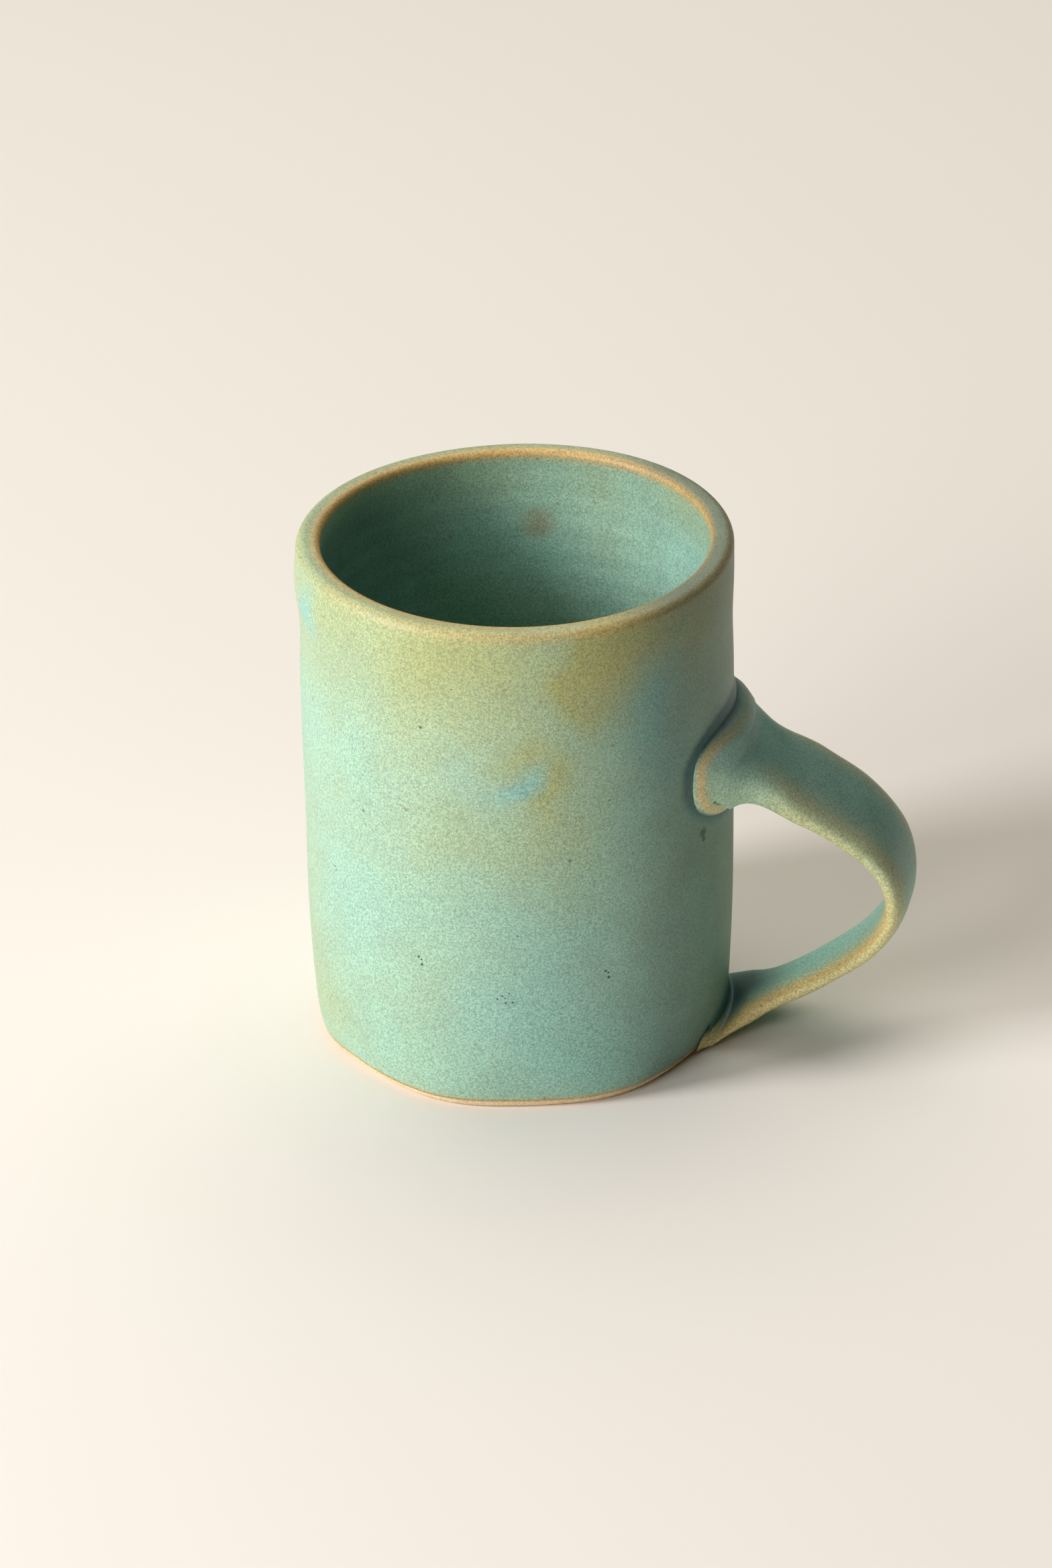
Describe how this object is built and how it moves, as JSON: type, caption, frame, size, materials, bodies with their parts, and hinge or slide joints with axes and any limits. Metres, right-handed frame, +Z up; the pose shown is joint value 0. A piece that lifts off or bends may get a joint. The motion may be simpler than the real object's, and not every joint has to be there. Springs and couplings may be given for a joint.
{
  "type": "mug",
  "caption": "Straight-sided stoneware mug with a rounded foot and a low strap handle, wheel-thrown and satin-glazed, for hot drinks.",
  "frame": {"origin": "centre of the flat foot, on the mug's axis, at table height", "axes": "+Z up along the mug's axis, out of its mouth; +X from the axis towards the handle; +Y to the left of the handle seen from the mug's axis"},
  "size_m": [0.1186, 0.0832, 0.104],
  "materials": {
    "bare_stoneware": "bare fired stoneware, pale buff, matt and slightly gritty",
    "handle_stoneware": "fired stoneware pulled into a strap, hidden under its glaze",
    "joint_slip": "fired slip in a thin layer, hidden inside the joint",
    "liner_glaze": "satin stoneware glaze, dark green with fine mottle and soft throwing rings under it",
    "outer_glaze": "satin stoneware glaze, mottled pale turquoise to olive green, blue where it pools",
    "rim_glaze": "second dip of satin glaze, yellow-green, breaking to ochre along the lip",
    "handle_glaze": "satin stoneware glaze, teal on top and yellow-green below, ochre along the edges"
  },
  "bodies": {
    "root": {"thrown_body": "bare_stoneware", "handle": "handle_stoneware", "upper_slip": "joint_slip", "lower_slip": "joint_slip", "liner_glaze": "liner_glaze", "outer_glaze": "outer_glaze", "rim_glaze": "rim_glaze", "handle_glaze": "handle_glaze"}
  },
  "joints": []
}
